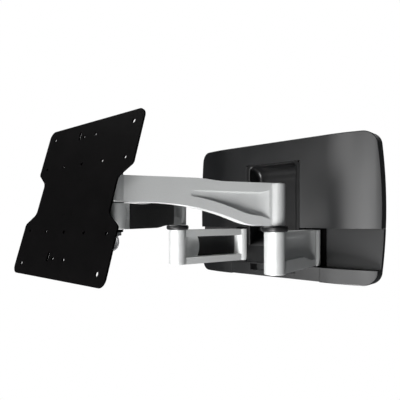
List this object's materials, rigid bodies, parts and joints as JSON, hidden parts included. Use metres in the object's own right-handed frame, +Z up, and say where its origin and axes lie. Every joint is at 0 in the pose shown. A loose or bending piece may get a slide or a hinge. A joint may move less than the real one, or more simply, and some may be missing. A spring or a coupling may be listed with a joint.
{
  "type": "full motion tv wall mount",
  "caption": "Wall unit with a moulded cover and two folding cast arms that meet at a swivelling, tilting screen plate.",
  "frame": {"origin": "centre of the wall screw pattern, on the wall surface", "axes": "+X right for a viewer facing the wall, +Y into the wall, +Z up"},
  "size_m": [0.4732, 0.5806, 0.3068],
  "materials": {
    "cover_black": "high gloss black moulding",
    "silver": "satin silver coat on cast aluminium",
    "black_steel": "fine black powder coat",
    "zinc": "zinc plated steel",
    "collar_black": "black acetal",
    "bush": "natural acetal",
    "knob": "dull chrome plated"
  },
  "bodies": {
    "wall_unit": {"wall_plate": "black_steel", "hinge_bracket_left": "black_steel", "hinge_bracket_right": "black_steel", "bracket_screws": "zinc", "hinge_pin_left": "zinc", "hinge_pin_right": "zinc", "upper_cover": "cover_black", "recess_liner": "cover_black", "lower_cover_left": "cover_black", "lower_cover_right": "cover_black", "lower_cover_centre": "cover_black"},
    "lower_right": {"lower_link_right": "silver", "hinge_bushes_right": "bush", "elbow_pin_right": "zinc", "elbow_collar_right": "collar_black", "elbow_nut_right": "zinc", "link_cover_right": "collar_black"},
    "lower_left": {"lower_link_left": "silver", "hinge_bushes_left": "bush", "elbow_pin_left": "zinc", "elbow_collar_left": "collar_black", "elbow_nut_left": "zinc", "link_cover_left": "collar_black"},
    "upper_right": {"upper_arm_right": "silver", "elbow_bushes_right": "bush", "arm_cap_right": "collar_black", "head_bushes": "bush", "arm_cover_right": "collar_black"},
    "upper_left": {"upper_arm_left": "silver", "elbow_bushes_left": "bush", "arm_cap_left": "collar_black", "arm_cover_left": "collar_black"},
    "head": {"head_pin": "zinc", "head_washers": "collar_black"},
    "pan": {"pan_bracket": "black_steel", "tilt_bolt": "zinc", "tilt_nut": "zinc", "tilt_washers": "bush"},
    "knob": {"tilt_knob": "knob"},
    "screen": {"tilt_bracket": "black_steel", "vesa_plate": "black_steel", "plate_rivets": "black_steel"}
  },
  "joints": [
    {"name": "fold", "type": "hinge", "parent": "wall_unit", "child": "lower_right", "pos_m": [0.094, -0.037, -0.0815], "axis": [0, 0, 1], "range_deg": [-8, 72]},
    {"name": "elbow_right", "type": "hinge", "parent": "lower_right", "child": "upper_right", "pos_m": [0.1225, -0.225, 0.0035], "axis": [0, 0, 1], "range_deg": [-130, 15]},
    {"name": "head_turn", "type": "hinge", "parent": "upper_right", "child": "head", "pos_m": [0, -0.4766, 0.0035], "axis": [0, 0, 1], "range_deg": [-7, 58]},
    {"name": "fold_left", "type": "hinge", "parent": "wall_unit", "child": "lower_left", "pos_m": [-0.094, -0.037, -0.0815], "axis": [0, 0, 1], "range_deg": [-72, 8]},
    {"name": "elbow_left", "type": "hinge", "parent": "lower_left", "child": "upper_left", "pos_m": [-0.1225, -0.225, 0.0035], "axis": [0, 0, 1], "range_deg": [-15, 130]},
    {"name": "pan", "type": "hinge", "parent": "head", "child": "pan", "pos_m": [0, -0.4766, 0.0035], "axis": [0, 0, 1], "range_deg": [-25, 25]},
    {"name": "tilt", "type": "hinge", "parent": "pan", "child": "screen", "pos_m": [0, -0.538, -0.052], "axis": [1, 0, 0], "range_deg": [0, 21]},
    {"name": "knob_turn", "type": "hinge", "parent": "pan", "child": "knob", "pos_m": [0.07, -0.538, -0.052], "axis": [1, 0, 0], "range_deg": [-180, 180]}
  ],
  "couplings": [
    {"joint": "elbow_right", "follows": "fold", "ratio": -1.8},
    {"joint": "head_turn", "follows": "fold", "ratio": 0.8},
    {"joint": "fold_left", "follows": "fold", "ratio": -1},
    {"joint": "elbow_left", "follows": "fold", "ratio": 1.8}
  ]
}
